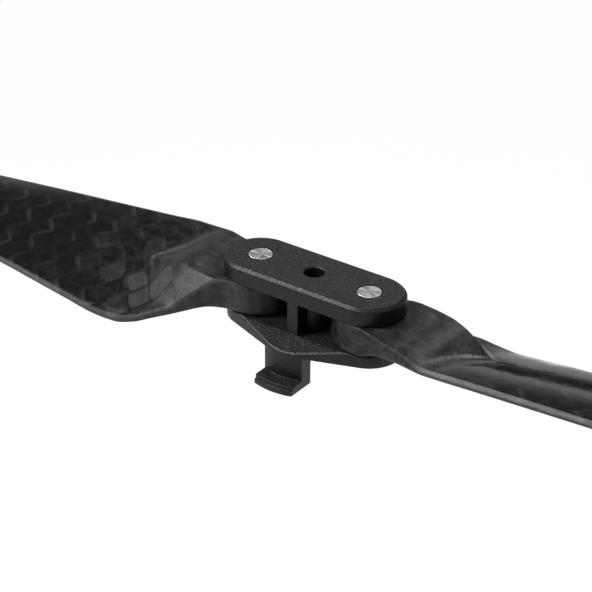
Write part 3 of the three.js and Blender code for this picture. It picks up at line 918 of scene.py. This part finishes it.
def floor_white():
    """A pale floor: lit white under the part, greyer further out, and dark at the studio's wall."""
    m = Nodes("pale floor")
    place = m.node("TexCoord").outputs["Object"]
    cloud = m.noise(place, scale=3.0)
    out = m.node("VectorMath", {0: place}, operation="LENGTH").outputs["Value"]
    white = m.ramp(out, WHITE_TO, WHITE_TO - WHITE_FADE, 0.0, WHITE_GLOW)
    whole = m.ramp(out, FLOOR_TO, FLOOR_TO - FLOOR_FADE, 0.0, FLOOR_GLOW)
    m.set(Base_Color=m.mix(cloud, grey(0.34), grey(0.36)), Roughness=0.9, Specular_IOR_Level=0.1)
    m.set(Emission_Color=grey(1.0), Emission_Strength=m.math("ADD", white, whole))
    return m.material


# ---- The pieces ----
def dress(piece, body, node, material):
    """The piece stands for a CAD node, on its body and finish."""
    piece.data.materials.clear()
    piece.data.materials.append(material)
    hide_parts(node)
    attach(piece, body)


def make_pieces():
    dress(make_hub(), "hub", "hub", nylon())
    blade_right = make_blade()
    remember_places(blade_right)
    blade_left = half_turn(blade_right)
    blade_left.name = "carbon_blade_left"
    finishes = {"carbon": carbon(), "steel": steel(), "brass": brass(), "washer": washer_plastic()}
    bore = PIN_RADIUS + GAP
    for side, x, blade in (("left", -PIVOT, blade_left), ("right", PIVOT, blade_right)):
        body = "blade_" + side
        dress(blade, body, body, finishes["carbon"])
        pin = make_pin("turned_pin_" + side, x)
        dress(pin, "hub", "pivot_pin_" + side, finishes["steel"])
        bush = make_ring("bush_" + side, x, bore, BUSH_RADIUS, BUSH_LOW.z, BUSH_HIGH.z)
        dress(bush, body, "root_bush_" + side, finishes["brass"])
        for level in ("upper", "lower"):
            node = f"washer_{level}_{side}"
            low, high = box_of(node)
            washer = make_ring("slip_" + node, x, bore, WASHER_RADIUS, low.z, high.z)
            dress(washer, body, node, finishes["washer"])


# ---- The studio ----
AIM_AZIMUTH = radians(35.725)
AIM_ELEVATION = radians(29.415)
AIM_ROLL = radians(0.316)
CAMERA_DISTANCE = 277.3
AIM_RIGHT = -2.21  # from the centre of the hub's top to the middle of the picture
AIM_UP = -2.88
LENS = 140.7
SENSOR = 36
NEAREST = 0.005  # what the camera sees lies between these distances, in metres
FARTHEST = 20

# Each soft light: its name, the direction it is in, how far off, its width and height in metres, and
# its brightness.
SOFTBOXES = (
    ("key", (-0.52, -0.5, 0.70), 0.6, 0.2, 0.2, 29.0),
    ("overhead", (0.1, 0.05, 1.0), 0.7, 0.3, 0.3, 2.5),
    ("back_high", (0.08, 0.5, 0.86), 0.7, 0.09, 0.08, 20.0),
    ("back_low", (-0.2, 0.79, 0.6), 0.7, 0.1, 0.12, 7.0),
)
# The studio's walls: how high above the horizon, from 0 to 1 straight up, and how bright there.
WALL_TONES = (
    (0.0, 0.04),
    (0.09, 0.04),
    (0.115, 0.8),
    (0.2, 0.75),
    (0.42, 0.22),
    (0.6, 0.15),
    (0.8, 0.2),
    (1.0, 0.3),
)


def add_camera():
    back = Vector(
        (
            sin(AIM_AZIMUTH) * cos(AIM_ELEVATION),
            -cos(AIM_AZIMUTH) * cos(AIM_ELEVATION),
            sin(AIM_ELEVATION),
        )
    )
    level = Vector((cos(AIM_AZIMUTH), sin(AIM_AZIMUTH), 0))
    upright = back.cross(level)
    right = level * cos(AIM_ROLL) + upright * sin(AIM_ROLL)
    up = upright * cos(AIM_ROLL) - level * sin(AIM_ROLL)
    aim = Vector((0, 0, HUB_TOP)) + right * AIM_RIGHT + up * AIM_UP
    place = (aim + back * CAMERA_DISTANCE) * MM
    camera = bpy.data.objects.new("camera", bpy.data.cameras.new("camera"))
    camera.data.lens = LENS
    camera.data.sensor_width = SENSOR
    camera.data.clip_start = NEAREST
    camera.data.clip_end = FARTHEST
    turn = Matrix((right, up, back)).transposed().to_4x4()
    camera.matrix_world = Matrix.Translation(place) @ turn
    bpy.context.scene.collection.objects.link(camera)
    bpy.context.scene.camera = camera


def add_softbox(name, direction, distance, width, height, radiance):
    """A soft rectangular light, facing the hub, of a given brightness."""
    light = bpy.data.lights.new(name, "AREA")
    light.shape = "RECTANGLE"
    light.size = width
    light.size_y = height
    light.energy = radiance * pi * width * height
    holder = bpy.data.objects.new(name, light)
    away = Vector(direction).normalized()
    holder.location = away * distance
    holder.rotation_euler = away.to_track_quat("Z", "Y").to_euler()
    bpy.context.scene.collection.objects.link(holder)


def add_world():
    """A studio's walls: dark down to the floor, with a pale band above that fades into a dim
    ceiling."""
    world = bpy.data.worlds.new("studio")
    world.use_nodes = True
    tree = world.node_tree
    place = tree.nodes.new("ShaderNodeTexCoord")
    split = tree.nodes.new("ShaderNodeSeparateXYZ")
    ramp = tree.nodes.new("ShaderNodeValToRGB")
    tree.links.new(place.outputs["Generated"], split.inputs[0])
    tree.links.new(split.outputs[2], ramp.inputs[0])
    tree.links.new(ramp.outputs[0], tree.nodes["Background"].inputs[0])
    while len(ramp.color_ramp.elements) < len(WALL_TONES):
        ramp.color_ramp.elements.new(0.5)
    for element, (height, brightness) in zip(ramp.color_ramp.elements, WALL_TONES):
        element.position = height
        element.color = grey(brightness)
    bpy.context.scene.world = world


def add_floor():
    half = FLOOR_SIZE / 2 / MM
    corners = [(-half, -half), (half, -half), (half, half), (-half, half)]
    level = SOLE - FLOOR_DROP / MM
    floor = object_from("floor", [(x, y, level) for x, y in corners], [[0, 1, 2, 3]])
    floor.data.materials.append(floor_white())


def add_studio():
    add_camera()
    add_world()
    add_floor()
    for softbox in SOFTBOXES:
        add_softbox(*softbox)
    bpy.context.scene.view_settings.view_transform = "Standard"


make_pieces()
add_studio()
